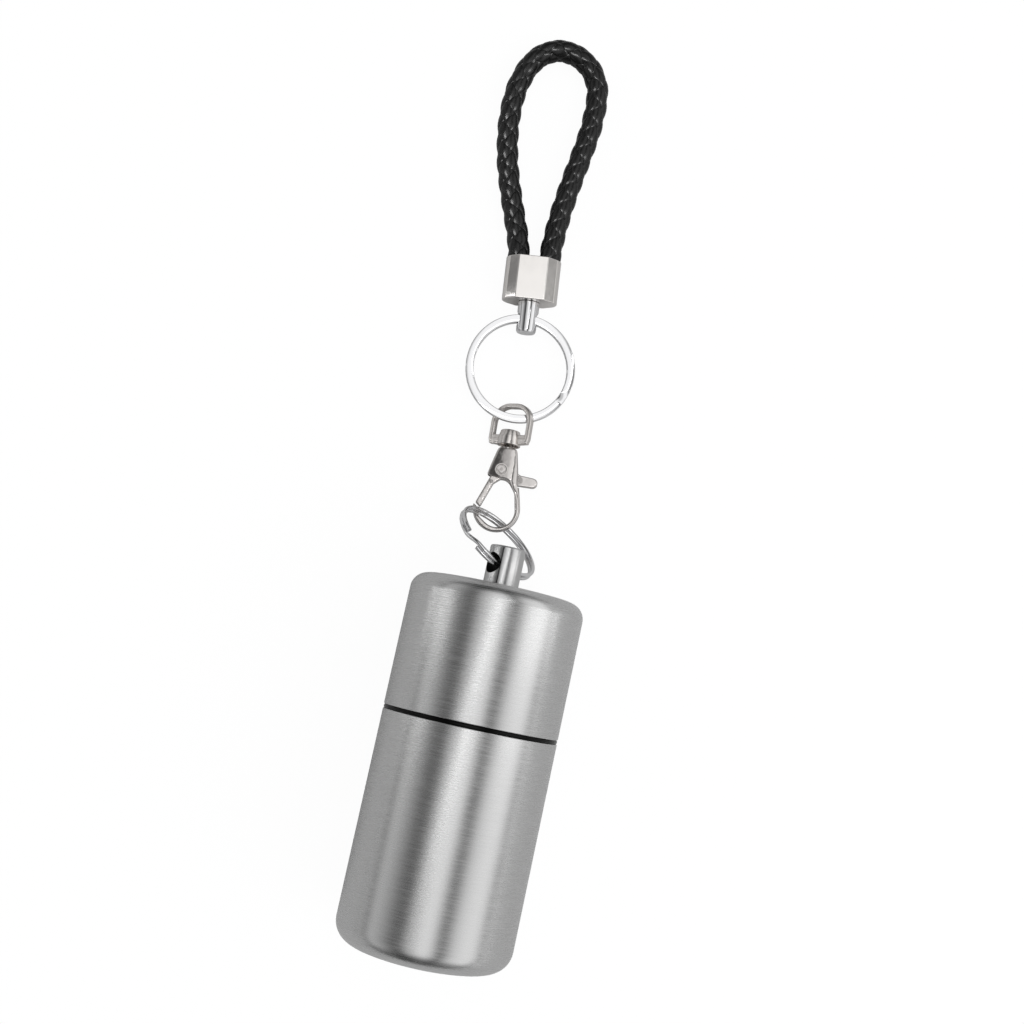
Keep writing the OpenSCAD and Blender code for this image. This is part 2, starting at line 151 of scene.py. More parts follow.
def thread(radius, low, high, start, inward=False):
    """One start of a thread on the canister: a small ridge with a rounded top, carried along a
    helix that climbs one lead a turn from low to high. Its height fades out at both ends."""
    turns = (high - low) / THREAD_LEAD
    a = np.linspace(0, FULL * turns, int(72 * turns))
    side = np.stack([np.cos(a + start), np.sin(a + start), 0 * a], axis=1)
    path = radius * side
    path[:, 2] = low + THREAD_LEAD * a / FULL
    ahead = np.gradient(path, axis=0)
    ahead /= np.linalg.norm(ahead, axis=1)[:, None]
    radial = side * (-1 if inward else 1)
    across = np.cross(ahead, radial)
    flank = THREAD_DEPTH * 0.7
    width, height = np.array([
        (-0.42, -0.2), (0.42, -0.2), (0.24, flank), (0.1, THREAD_DEPTH), (-0.1, THREAD_DEPTH),
        (-0.24, flank),
    ]).T
    fade = np.clip(np.minimum(a, a[-1] - a) / 0.5, 0.02, 1)[:, None]
    height = np.where(height > 0, height * fade, height)
    rows = path[:, None] + width[:, None] * across[:, None] + height[..., None] * radial[:, None]
    return skin(CANISTER.at(rows))


def merged(*parts):
    """Several sets of points and faces as one."""
    points, faces, start = [], [], 0
    for part_points, part_faces in parts:
        points.append(part_points)
        faces += [[i + start for i in face] for face in part_faces]
        start += len(part_points)
    return np.concatenate(points), faces


def solid(name, points, faces, material, sharp=SHARP):
    """One closed mesh from points in millimetres: doubles merged, faces turned outward, and shaded
    smooth except where two faces meet at more than the sharp angle."""
    mesh = bpy.data.meshes.new(name)
    mesh.from_pydata((np.asarray(points) * MM).tolist(), [], [list(map(int, f)) for f in faces])
    b = bmesh.new()
    b.from_mesh(mesh)
    bmesh.ops.remove_doubles(b, verts=b.verts, dist=1e-7)
    bmesh.ops.recalc_face_normals(b, faces=b.faces)
    b.to_mesh(mesh)
    b.free()
    mesh.shade_smooth()
    mesh.set_sharp_from_angle(angle=math.radians(sharp))
    mesh.materials.append(material)
    obj = bpy.data.objects.new(name, mesh)
    bpy.context.scene.collection.objects.link(obj)
    return obj


class Signal:
    """What comes out of a node. Sums and products of it, from either side, add Math nodes."""

    def __init__(self, nodes, socket):
        self.nodes, self.socket = nodes, socket

    def math(self, operation, other=0.0):
        return self.nodes.add("ShaderNodeMath", {"operation": operation}, {0: self, 1: other})

    def __add__(self, other):
        return self.math("ADD", other)

    def __mul__(self, other):
        return self.math("MULTIPLY", other)

    __radd__, __rmul__ = __add__, __mul__


class Nodes:
    """The nodes of a finish, or of the room."""

    def __init__(self, tree):
        self.tree = tree

    def feed(self, socket, value):
        """A socket takes a signal through a link, and anything else as its value."""
        if isinstance(value, Signal):
            self.tree.links.new(value.socket, socket)
        else:
            socket.default_value = value

    def add(self, kind, settings=None, inputs=None, out=0):
        """A node: first its settings, with a ramp's stops as (position, colour), then its inputs by
        name or number. Gives back one of its outputs."""
        node = self.tree.nodes.new(kind)
        for name, value in (settings or {}).items():
            if name == "stops":
                stops = node.color_ramp.elements
                while len(stops) < len(value):
                    stops.new(0.5)
                for stop, (position, colour) in zip(stops, value):
                    stop.position, stop.color = position, colour
            else:
                setattr(node, name, value)
        for name, value in (inputs or {}).items():
            self.feed(node.inputs[name], value)
        return Signal(self, node.outputs[out]) if node.outputs else None

    def vector(self, operation, first, second=(0, 0, 0), out="Vector"):
        """Two vectors, or a vector and a number for all its parts, put together."""
        settings = {"operation": operation}
        return self.add("ShaderNodeVectorMath", settings, {0: first, 1: second}, out)


class Finish(Nodes):
    """A principled material; its methods take what varies over the piece."""

    def __init__(self, name, colour, rough, others=None):
        self.material = bpy.data.materials.new(name)
        self.material.use_nodes = True
        super().__init__(self.material.node_tree)
        self.shader = self.tree.nodes["Principled BSDF"]
        sockets = {"Base Color": (*colour, 1), "Roughness": rough, **(others or {})}
        for socket, value in sockets.items():
            self.feed(self.shader.inputs[socket], value)

    def share(self, noise):
        """The middle of a noise, from 0.3 to 0.7, as a share from 0 to 1."""
        inputs = {"Value": noise, "From Min": 0.3, "From Max": 0.7}
        return self.add("ShaderNodeMapRange", None, inputs)

    def tint(self, share, first, second):
        """The colour goes from the first to the second by a share."""
        inputs = {0: share, 6: (*first, 1), 7: (*second, 1)}
        mixed = self.add("ShaderNodeMix", {"data_type": "RGBA"}, inputs, 2)
        self.feed(self.shader.inputs["Base Color"], mixed)

    def rough(self, value):
        self.feed(self.shader.inputs["Roughness"], value)

    def bump(self, height, strength, distance):
        """Relief of up to distance millimetres from a height of 0 to 1."""
        inputs = {"Height": height, "Strength": strength, "Distance": distance * MM}
        self.feed(self.shader.inputs["Normal"], self.add("ShaderNodeBump", None, inputs))


METAL = {"Metallic": 1.0}
MARK_SCALE, MARK_DRAWN = 420, 9


def lathe_marks(finish):
    """Noise drawn out round the canister's axis, as a lathe leaves it on sides and ends. It is read
    at the sum of three steps: the direction from the axis, 9 mm long, then 9 times the distance
    from the axis, and 9 times the way along it."""
    point = finish.add("ShaderNodeTexCoord", out="Object")
    local = finish.vector("SUBTRACT", point, (0, 0, CANISTER_R * MM))
    flat = finish.vector("MULTIPLY", local, (1, 0, 1))
    heading, reach = finish.vector("NORMALIZE", flat), finish.vector("LENGTH", flat, out="Value")
    around = finish.vector("MULTIPLY", heading, (MARK_DRAWN * MM,) * 3)
    outward = finish.vector("MULTIPLY", reach, (MARK_DRAWN, 0, 0))
    along = finish.vector("MULTIPLY", local, (0, MARK_DRAWN, 0))
    spot = finish.vector("ADD", finish.vector("ADD", around, along), outward)
    inputs = {"Vector": spot, "Scale": MARK_SCALE, "Detail": 4}
    return finish.add("ShaderNodeTexNoise", None, inputs, "Fac")


def turned_aluminium(name, tone, rough):
    """Bare turned aluminium, whose fine rings vary in tone, gloss and relief."""
    s = Finish(name, (tone, tone, tone), rough, METAL)
    rings = lathe_marks(s)
    share = s.share(rings)
    s.tint(share, (tone * 0.95,) * 3, (tone * 1.04,) * 3)
    s.rough(rough * (0.9 + 0.22 * share))
    s.bump(rings, 0.1, 0.02)
    return s.material


def finish_piece(obj, body, node):
    """The piece rides on its body and stands for its CAD node, which is hidden."""
    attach(obj, body)
    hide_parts(node)


CANISTER_METAL = turned_aluminium("brushed aluminium", 0.66, 0.27)
body_profile = rounded(
    [
        (0, -BODY_END, 0), (CANISTER_R, -BODY_END, 5.6), (CANISTER_R, -0.5, 0.3),
        (NECK_R, -0.5, 0.15), (NECK_R, NECK_END, 0.35), (INNER_R, NECK_END, 0.3),
        (INNER_R, BODY_FLOOR - BODY_END, 1.6), (0, BODY_FLOOR - BODY_END, 0),
    ],
    steps=10,
)
body = merged(
    revolve(body_profile, CANISTER, SEGMENTS),
    *(thread(NECK_R, 1.3, 7.6, start) for start in (0, math.pi)),
)
finish_piece(solid("canister_body_turned", *body, CANISTER_METAL), "canister", "canister_body")

# --- seal ---
# A moulded ring of black rubber that lies on the shoulder round the neck. The cap presses on it,
# and its edge shows as the dark line between body and cap.

RUBBER = Finish("black rubber", (0.002,) * 3, 0.2, {"Specular IOR Level": 0.12}).material
seal_profile = rounded(
    [(20.75, -0.5, 0.1), (22.4, -0.5, 0.4), (22.4, 0.5, 0.4), (20.75, 0.5, 0.1)], True
)
seal = revolve(seal_profile, CANISTER, SEGMENTS, closed=True)
finish_piece(solid("neck_seal_ring", *seal, RUBBER), "seal", "neck_seal")

# --- cap ---
# The same turned tube, closed at its top: its wider mouth takes the neck and has the matching
# thread inside, and a hole in the middle of its end takes the knob's spigot.

CAP_END, CAP_WALL = 35.1, 3.5
CAP_BORE_R, CAP_BORE_END = 21.1, 9.7
SPIGOT_HOLE_R = 2.55

cap_profile = rounded(
    [
        (SPIGOT_HOLE_R, CAP_END, 0.05), (CANISTER_R, CAP_END, 4.2), (CANISTER_R, 0.5, 0.3),
        (CAP_BORE_R, 0.5, 0.35), (CAP_BORE_R, CAP_BORE_END, 0.1), (INNER_R, CAP_BORE_END, 0.3),
        (INNER_R, CAP_END - CAP_WALL, 1.0), (SPIGOT_HOLE_R, CAP_END - CAP_WALL, 0.05),
    ],
    True,
    steps=10,
)
cap = merged(
    revolve(cap_profile, CANISTER, SEGMENTS, closed=True),
    *(thread(CAP_BORE_R, 2.3, 8.6, start, inward=True) for start in (0, math.pi)),
)
finish_piece(solid("cap_turned", *cap, CANISTER_METAL), "cap", "cap_shell")

# --- knob, washer and screw ---
# A turned aluminium knob with a cross hole for the small ring. Its spigot goes through the cap's
# end, where a steel pan head screw on a rubber washer holds it from inside.

KNOB_R, KNOB_H = 4.6, 10.7
HOLE_Z, HOLE_R, HOLE_TURN = 41.0, 2.7, 41.5
HOLE = CANISTER.then((0, 0, HOLE_Z), 0, 90, HOLE_TURN)
WASHER_LOW, WASHER_TOP = 30.8, CAP_END - CAP_WALL


def rod(r, low, high, place, segments):
    """A bar along the place's Z axis, round or with as many flats as it has segments."""
    return revolve([(r, low), (r, high)], place, segments)


def cut(obj, points, faces):
    """Takes a closed shape, in millimetres, out of a piece."""
    tool = solid("cutter", points, faces, obj.data.materials[0])
    m = obj.modifiers.new("cut", "BOOLEAN")
    m.object = tool
    m.operation = "DIFFERENCE"
    m.solver = "EXACT"
    graph = bpy.context.evaluated_depsgraph_get()
    mesh = bpy.data.meshes.new_from_object(obj.evaluated_get(graph))
    obj.modifiers.clear()
    obj.data = mesh
    bpy.data.objects.remove(tool)
    mesh.shade_smooth()
    mesh.set_sharp_from_angle(angle=math.radians(SHARP))


def break_edges(obj, width, segments):
    """A small round, in millimetres, along each edge of more than 40 degrees."""
    edge = obj.modifiers.new("edge", "BEVEL")
    edge.width = width * MM
    edge.segments = segments
    edge.limit_method = "ANGLE"
    edge.angle_limit = math.radians(40)


def plated(name, colour, rough, wave):
    """Nickel plate or bare steel: gloss that varies a little, and a slow unevenness of its face."""
    s = Finish(name, colour, rough, METAL)
    point = s.add("ShaderNodeTexCoord", out="Object")
    uneven = s.add("ShaderNodeTexNoise", None, {"Vector": point, "Scale": 330, "Detail": 2}, "Fac")
    s.rough(rough * (0.8 + 0.6 * s.share(uneven)))
    s.bump(uneven, wave, 0.5)
    return s.material


KNOB_METAL = turned_aluminium("turned aluminium", 0.62, 0.24)
# The near black metal below is painted shade for the inside of the knob's cross hole, not a finish
# of its own.
BORE_SHADE = Finish("bore", (0.05, 0.05, 0.05), 0.5, METAL).material
STEEL = plated("steel", (0.6, 0.6, 0.6), 0.3, 0.06)

knob_profile = rounded(
    [
        (0, CAP_END + KNOB_H, 0), (KNOB_R, CAP_END + KNOB_H, 0.55), (KNOB_R, CAP_END, 0.12),
        (2.5, CAP_END, 0), (2.5, CAP_END - 3.3, 0.2), (1.5, CAP_END - 3.3, 0.1),
        (1.5, CAP_END + 2.3, 0), (0, CAP_END + 2.3, 0),
    ]
)
knob = solid("cap_knob_turned", *revolve(knob_profile, CANISTER, 96), KNOB_METAL)
cut(knob, *rod(HOLE_R, -12, 12, HOLE, 96))
# the cross hole's wall takes near black metal: painted shade inside the hole
knob.data.materials.append(BORE_SHADE)
centres = np.empty(3 * len(knob.data.polygons), np.float32)
knob.data.polygons.foreach_get("center", centres)
across, over, along = ((centres.reshape(-1, 3) / MM - HOLE.origin) @ HOLE.axes).T
shaded_bore_faces = (np.hypot(across, over) < HOLE_R) & (np.abs(along) < KNOB_R)
knob.data.polygons.foreach_set("material_index", shaded_bore_faces.astype(np.int32))
break_edges(knob, 0.22, 3)
finish_piece(knob, "cap", "cap_knob")

washer_profile = rounded(
    [
        (1.55, WASHER_LOW, 0.1), (4, WASHER_LOW, 0.25), (4, WASHER_TOP, 0.25),
        (1.55, WASHER_TOP, 0.1),
    ],
    True,
)
washer = revolve(washer_profile, CANISTER, 64, closed=True)
finish_piece(solid("knob_washer_ring", *washer, RUBBER), "cap", "knob_washer")

screw_profile = rounded(
    [
        (0, 29.0, 0), (2.9, 29.0, 0.9), (2.9, WASHER_LOW, 0.1), (1.45, WASHER_LOW, 0.05),
        (1.45, 37.2, 0.3), (0, 37.2, 0),
    ]
)
screw = solid("knob_screw_pan", *revolve(screw_profile, CANISTER, 64), STEEL)
cut(screw, *rod(1.15, 28.5, 30.1, CANISTER, 6))
finish_piece(screw, "cap", "knob_screw")

# --- small split ring ---
# Round spring wire, plated bright and wound twice flat on itself, with a short step where it goes
# from one turn to the next. It hangs in the knob's cross hole and carries the clasp's hook.

SMALL_R, SMALL_WIRE, SMALL_LIFT = 11.95, 0.55, 0.58
RING_HEADING, RING_ROLL = 118.2, 54.2
HOOK_AT, HOOK_Z = 187.0, 5.65


def sin(a):
    return math.sin(math.radians(a))


def cos(a):
    return math.cos(math.radians(a))


def smooth(t):
    """A step from 0 to 1 with level ends: three times t squared less twice t cubed."""
    t = np.clip(t, 0, 1)
    return t * t * (3 - 2 * t)


def split_path(r, lift, step_at, span, gap):
    """Middle line of a split ring's strand: two turns at radius r, the first lowered and the second
    raised by lift, with a smooth step over span degrees. The ends lie gap beyond the step."""
    first = step_at + span / 2 + gap
    last = step_at - span / 2 - gap + 720
    a = np.arange(first, last, 2.0)
    a = np.concatenate([[first, first + 0.6], a[1:], [last - 0.6, last]])
    z = -lift + 2 * lift * smooth((a - (step_at - span / 2 + 360)) / span)
    a = np.radians(a)
    return np.stack([r * np.cos(a), r * np.sin(a), z], axis=1)


def circle(r, n):
    """Points round a circle: r times (cos a, sin a)."""
    a = np.arange(n) * FULL / n
    return np.stack([r * np.cos(a), r * np.sin(a)], axis=1)


def sweep(path, section, up, closed=False, scale=None):
    """A section (across, over) carried along a path. Across is the path's direction times up, and
    over stands square on both, so it stays near up."""
    path = np.asarray(path, float)
    if closed:
        ahead = np.roll(path, -1, 0) - np.roll(path, 1, 0)
    else:
        ahead = np.gradient(path, axis=0)
    ahead /= np.linalg.norm(ahead, axis=1)[:, None]
    across = np.cross(ahead, up)
    across /= np.linalg.norm(across, axis=1)[:, None]
    over = np.cross(across, ahead)
    section = np.asarray(section, float)
    offset = section[:, 0:1] * across[:, None] + section[:, 1:2] * over[:, None]
    if scale is not None:
        offset *= scale[:, None, None]
    return skin(path[:, None] + offset, closed)


def split_ring(name, path, section, place):
    """A split ring's strand of bright nickel, its two ends softly broken."""
    scale = np.ones(len(path))
    scale[[0, -1]] = 0.92
    points, faces = sweep(path, section, (0, 0, 1), scale=scale)
    return solid(name, place.at(points), faces, BRIGHT, 40)


BRIGHT = plated("bright nickel", (0.84, 0.84, 0.85), 0.06, 0.04)

# the ring leans from a little off the middle of the knob's hole down to where the hook lies
hole_point = np.array([0, SEAM_Y + HOLE_Z - 0.8, CANISTER_R + 0.3])
ring_chord = 2 * SMALL_R * sin(HOOK_AT / 2)
ring_pitch = math.degrees(math.asin((hole_point[2] - HOOK_Z) / ring_chord))
hook_point = hole_point + ring_chord * np.array(
    [cos(ring_pitch) * cos(RING_HEADING), cos(ring_pitch) * sin(RING_HEADING), -sin(ring_pitch)]
)
ring_axes = turn(RING_ROLL, ring_pitch, RING_HEADING) @ turn(0, 0, -90 - HOOK_AT / 2)
SMALL_RING = Place(hole_point - SMALL_R * ring_axes[:, 0], ring_axes)

small_path = split_path(SMALL_R, SMALL_LIFT, -56, 26, gap=-1.5)
small = split_ring("small_split_ring_wire", small_path, circle(SMALL_WIRE, 16), SMALL_RING)
finish_piece(small, "split_ring", "small_split_ring")

# --- lobster clasp: hook body ---
# One zinc casting, nickel plated: a hook's bar that thins towards its nose, two cheeks with the
# lever's slot between them, and a collar. A stud in the collar carries the swivel eye.

HOOK_SIDE, HOOK_REACH = 2.4, 19.8
clasp_axes = turn(-3.9, 0, 2.7)
CLASP = Place(hook_point + clasp_axes @ (HOOK_SIDE, HOOK_REACH, 0), clasp_axes)
RIVET = (-0.66, -7.21)
NOSE = np.array([-6.9, -16.9])
NOSE_AXES = turn(0, 0, -38.8)[:2, :2]
CAST = plated("cast nickel", (0.62, 0.595, 0.58), 0.14, 0.3)


def belt(circles, step=0.12):
    """Outline of a belt drawn tight round a convex run of circles (x, y, r), given anticlockwise:
    on each circle an arc between the directions square to the belt's straight runs."""
    c = np.asarray(circles, float)
    way = np.roll(c, -1, 0) - c
    length = np.hypot(way[:, 0], way[:, 1])[:, None]
    ahead, slope = way[:, :2] / length, way[:, 2:] / length
    normal = np.column_stack([ahead[:, 1], -ahead[:, 0]]) * np.sqrt(1 - slope ** 2) - ahead * slope
    leaves = np.arctan2(normal[:, 1], normal[:, 0])
    meets = np.roll(leaves, 1)
    arcs = []
    for (x, y, r), start, swing in zip(c, meets, (leaves - meets) % FULL):
        a = np.linspace(start, start + swing, max(3, int(r * swing / step)) + 1)
        arcs.append(np.column_stack([x + r * np.cos(a), y + r * np.sin(a)]))
    return np.concatenate(arcs)


def resample(outline, step, closed=True):
    """Points at even spacing along an outline, read off its length so far."""
    p = np.asarray(outline, float)
    if closed:
        p = np.concatenate([p, p[:1]])
    d = np.concatenate([[0], np.cumsum(np.linalg.norm(np.diff(p, axis=0), axis=1))])
    n = max(8, int(round(d[-1] / step)))
    s = np.linspace(0, d[-1], n, endpoint=not closed)
    return np.stack([np.interp(s, d, p[:, k]) for k in range(p.shape[1])], axis=1)


def relaxed(outline, times):
    """An outline with softer corners: each point becomes half itself and a quarter of each
    neighbour, a number of times."""
    p = np.asarray(outline, float)
    for _ in range(times):
        p = 0.5 * p + 0.25 * (np.roll(p, 1, 0) + np.roll(p, -1, 0))
    return p


def inside(points, polygon):
    """Which points are inside a polygon: a line from them to the right crosses it an odd number of
    times."""
    x, y = np.asarray(points).T
    result = np.zeros(len(x), bool)
    for (x0, y0), (x1, y1) in zip(polygon, np.roll(polygon, -1, 0)):
        crosses = (y0 > y) != (y1 > y)
        with np.errstate(divide="ignore", invalid="ignore"):
            result ^= crosses & (x < (x1 - x0) * (y - y0) / (y1 - y0) + x0)
    return result


def plate(outline, half, bevel, place, fill=0.45, steps=4):
    """A flat piece about its own plane. Its half thickness, one number or a function of (x, y),
    falls off along a quarter circle of the bevel's radius over the last of the way to the outline.
    The points between are rows along the outline and a plain grid, joined by triangles."""
    n = len(outline)
    tangent = np.roll(outline, -1, 0) - np.roll(outline, 1, 0)
    normal = np.stack([tangent[:, 1], -tangent[:, 0]], axis=1)
    normal /= np.linalg.norm(normal, axis=1)[:, None]
    edge = resample(outline, 0.05)

    def depth(points):
        """How far each point is from the outline, some hundreds at a time."""
        return np.concatenate([
            np.linalg.norm(some[:, None] - edge, axis=2).min(1)
            for some in np.array_split(points, max(1, len(points) // 500))
        ])

    kept = []
    for angle in np.linspace(0, math.pi / 2, steps)[1:]:
        inset = bevel * (1 - math.cos(angle))
        row = outline - normal * inset
        kept.append(row[inside(row, outline) & (depth(row) > 0.92 * inset)])
    low, high = outline.min(0), outline.max(0)
    x, y = np.meshgrid(np.arange(low[0], high[0], fill), np.arange(low[1], high[1], fill))
    grid = np.stack([x.ravel(), y.ravel()], axis=1)
    grid = grid[inside(grid, outline)]
    kept.append(grid[depth(grid) > bevel + 0.3 * fill])
    points, _, triangles, *_ = delaunay_2d_cdt(
        [Vector(p) for p in np.concatenate([outline, *kept]).tolist()],
        [(i, (i + 1) % n) for i in range(n)], [], 1, 1e-6,
    )
    flat = np.array([tuple(p) for p in points])
    near = np.clip(depth(flat) / bevel, 0, 1)
    near[:n] = 0
    thickness = half(flat) if callable(half) else half
    z = thickness - bevel * (1 - np.sqrt(1 - (1 - near) ** 2))
    both = np.concatenate([np.column_stack([flat, z]), np.column_stack([flat, -z])])
    m = len(flat)
    faces = [list(t) for t in triangles] + [[m + i for i in reversed(t)] for t in triangles]
    faces += [[(i + 1) % n, i, m + i, m + (i + 1) % n] for i in range(n)]
    return place.at(both), faces


def block(low, high, place):
    """A box between two corners."""
    x, y, z = zip(low, high)
    corners = [(x[i], y[j], z[k]) for i in (0, 1) for j in (0, 1) for k in (0, 1)]
    faces = [(0, 1, 3, 2), (4, 6, 7, 5), (0, 4, 5, 1), (2, 3, 7, 6), (0, 2, 6, 4), (1, 5, 7, 3)]
    return place.at(corners), faces


outside = belt([(2, -1.7, 0.8), (-1.8, -1.7, 0.8), (-3.95, -9.1, 0.7), (-0.3, -17.7, 6.4)])
opening = belt([
    (-1.5, -12, 2.1), (-3.3, -18.7, 2.25), (0.05, -18.2, 4.65), (1.6, -13.6, 2.3),
    (0.1, -12.1, 2.7),
])
mouth = np.array([
    NOSE_AXES @ (-2, 0) + NOSE, NOSE_AXES @ (4, 0) + NOSE, (-1.2, -9.6), (-12, -9.6),
])


def open_run(outline):
    """The run of an outline's points that lies outside the hook's mouth."""
    kept = ~inside(outline, mouth)
    start = np.flatnonzero(kept & ~np.roll(kept, 1))[0]
    return np.roll(outline, -start, 0)[np.roll(kept, -start)]


def clasp_half(p):
    """Half thickness of the clasp: 1.15 on the bar, and on the cheeks up to 0.93 more, less a part
    that grows with the square of the distance from a ridge near one side."""
    x, y = np.asarray(p).T
    across = x - 1.9
    crown = 0.93 - np.where(across < 0, 0.028, 0.2) * across ** 2
    return 1.15 + smooth((y + 15) / 6) * crown


# the hook as one open C: round the outside, then back round the opening
hook_line = np.concatenate([open_run(outside), open_run(opening)[::-1]])
hook_line = relaxed(resample(hook_line, 0.14), 12)
hook = solid("hook_cast", *plate(hook_line, clasp_half, 0.5, CLASP), CAST, 40)
cut(hook, *block((-8, -11.2, -0.95), (8, -4.3, 0.95), CLASP))
finish_piece(hook, "hook", "hook_body")

collar_profile = rounded(
    [
        (0, -2.6, 0), (1.9, -2.6, 0.1), (1.9, -0.5, 0.35), (1.3, -0.5, 0.1), (1.3, 3.55, 0.05),
        (2.0, 3.55, 0.15), (2.0, 4.35, 0.5), (0, 4.35, 0),
    ]
)
collar = revolve(collar_profile, CLASP.turned(-90, 0, 0), 64)
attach(solid("hook_collar_and_stud", *collar, CAST), "hook")

# a low boss round the rivet on each cheek
rivet_place = CLASP.then((*RIVET, 0), 0, 0, 0)
boss_profile = rounded(
    [
        (0, 1.9, 0), (1.8, 1.9, 0), (1.8, 2.25, 0.12), (1.4, 2.25, 0.1), (1.3, 2.02, 0.05),
        (0, 2.02, 0),
    ]
)
for name, flip in (("front", 0), ("back", 180)):
    boss = revolve(boss_profile, rivet_place.turned(flip, 0, 0), 48)
    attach(solid(f"hook_boss_{name}", *boss, CAST), "hook")


def square_row(r, z, corner):
    """A rounded square round the rivet, a corner up: at angle a its radius is r divided by the
    corner-th root of |cos a| and |sin a|, each to that power and added."""
    a = np.linspace(0, FULL, 40, endpoint=False)
    r = r * (np.abs(np.cos(a)) ** corner + np.abs(np.sin(a)) ** corner) ** (-1 / corner)
    a = a + math.pi / 4
    return np.stack([r * np.cos(a), r * np.sin(a), z + 0 * a], axis=1)


# the rivet: square heads, round in the cheeks, its front head with a small dimple
pin_rows = [
    (0.04, -2.5, 2), (0.85, -2.5, 4), (0.95, -2.4, 4), (0.95, -2.2, 4), (0.8, -2.15, 2),
    (0.8, 2.15, 2), (0.95, 2.2, 4), (0.95, 2.4, 4), (0.85, 2.5, 4), (0.4, 2.5, 3), (0.33, 2.4, 2),
    (0.22, 2.4, 2), (0.16, 2.48, 2), (0.03, 2.48, 2),
]
pin = skin(rivet_place.at([square_row(*row) for row in pin_rows]))
finish_piece(solid("gate_rivet", *pin, CAST), "hook", "gate_pin")

# --- lobster clasp: lever and spring ---
# One flat cast lever on the rivet: its gate closes the hook at the nose, and its tab stands out at
# the side for the thumb. A small coil of steel wire in the slot pushes it back.

LEVER_HALF, LEVER_BEVEL = 0.85, 0.3
GATE_ROOT, GATE_TIP = (-2.95, -10.6, 0.87), (-5.4, -17.2, 0.87)
HUB, TAB_ROOT, TAB_END = (*RIVET, 1.9), (4.3, -9.2, 1.5), (8.2, -9.3, 1.35)
NOSE_GAP = 0.5
SPRING_X, SPRING_LOW, SPRING_TOP = 1.9, -6.25, -4.3


def clear_of_nose(outline):
    """The outline with what lies less than the gap from the nose's end face moved up to it."""
    local = (outline - NOSE) @ NOSE_AXES
    local[:, 1] = np.maximum(local[:, 1], NOSE_GAP)
    return local @ NOSE_AXES.T + NOSE


lever_shapes = [
    belt([HUB, GATE_ROOT]), clear_of_nose(belt([GATE_ROOT, GATE_TIP])), belt([HUB, TAB_ROOT]),
    belt([TAB_ROOT, TAB_END]),
]
lever = merged(*(
    plate(relaxed(resample(shape, 0.16), 2), LEVER_HALF, LEVER_BEVEL, CLASP)
    for shape in lever_shapes
))
finish_piece(solid("gate_lever_plate", *lever, CAST, 40), "gate", "gate_lever")

# a helix of two and a half turns about the clasp's length, 0.7 a turn
a = np.linspace(0, FULL * 2.5, 90)
coil = np.stack(
    [SPRING_X + 0.52 * np.sin(a), SPRING_LOW + 0.7 * a / FULL, 0.52 * np.cos(a)], axis=1
)
points, faces = sweep(coil, circle(0.11, 8), (0, 1, 0))
spring = solid("gate_spring_wire", CLASP.at(points), faces, STEEL)
finish_piece(spring, "hook", "gate_spring")
anchor = (CLASP.at((SPRING_X, SPRING_TOP, 0)) * MM).tolist()
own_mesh(spring)

# --- swivel eye ---
# A plated casting: a D of rounded strip on a hub that turns on the clasp's stud, with a small web
# at each foot. The hub is hollow towards the stud's head.

EYE = CLASP.turned(0, -28, 0)
EYE_X, EYE_FOOT, EYE_TOP = 5.52, 1.45, 11.22
EYE_X_HALF, EYE_Z_HALF = 0.675, 0.95
# The eye is plated like the hook, but its nickel is given a lighter tone than the hook's: painted
# light, for the brighter light it catches.
LIGHTER_SWIVEL_NICKEL = plated("swivel nickel painted lighter", (0.8, 0.765, 0.74), 0.2, 0.2)

eye_line = rounded(
    [
        (-EYE_X, EYE_FOOT, 0.5), (EYE_X, EYE_FOOT, 0.5), (EYE_X, EYE_TOP, 4.5),
        (-EYE_X, EYE_TOP, 4.5),
    ],
    True,
    14,
)
eye_line = resample(eye_line, 0.3)
eye_path = EYE.at(np.column_stack([eye_line, np.zeros(len(eye_line))]))
eye_section = rounded(
    [
        (-EYE_X_HALF, -EYE_Z_HALF, 0.4), (EYE_X_HALF, -EYE_Z_HALF, 0.4),
        (EYE_X_HALF, EYE_Z_HALF, 0.4), (-EYE_X_HALF, EYE_Z_HALF, 0.4),
    ],
    True,
    4,
)
hub_profile = rounded(
    [
        (1.4, 3.3, 0.1), (2.15, 3.3, 0.1), (2.15, 4.1, 0.12), (2.6, 4.1, 0.2), (3.05, 2.4, 0.6),
        (3.25, 0.0, 0.15), (2.8, 0.0, 0.1), (2.8, 1.2, 0.3), (1.4, 1.2, 0.1),
    ],
    True,
)
hub = revolve(hub_profile, EYE.turned(-90, 0, 0), 64, closed=True)


def web(side):
    """The small web between the hub and one foot of the D."""
    corners = [(side * x, y, 0.25) for x, y in
               ((2.3, 0.2), (5.9, 0.55), (6.1, 2.6), (4.9, 3.1), (2.3, 3.0))]
    return plate(resample(rounded(corners[::side], True, 4), 0.2), 0.8, 0.3, EYE)


eye = merged(sweep(eye_path, eye_section, EYE.axes[:, 2], closed=True), hub, web(1), web(-1))
finish_piece(solid("swivel_eye_cast", *eye, LIGHTER_SWIVEL_NICKEL, 40), "eye", "swivel_eye")

# --- key ring ---
# Flat spring strip, rolled with soft edges and wound twice on itself like the small ring. It hangs
# in the swivel eye, tilted so that its far side rests in the shank.

KEY_R, KEY_LIFT = 13.9, 0.53
STRIP_X, STRIP_Z = 1.1, 0.5
EYE_AT, SHANK_AT = -86.0, 94.4
SHANK_Z, KEY_ROLL = 4.6, 4.0

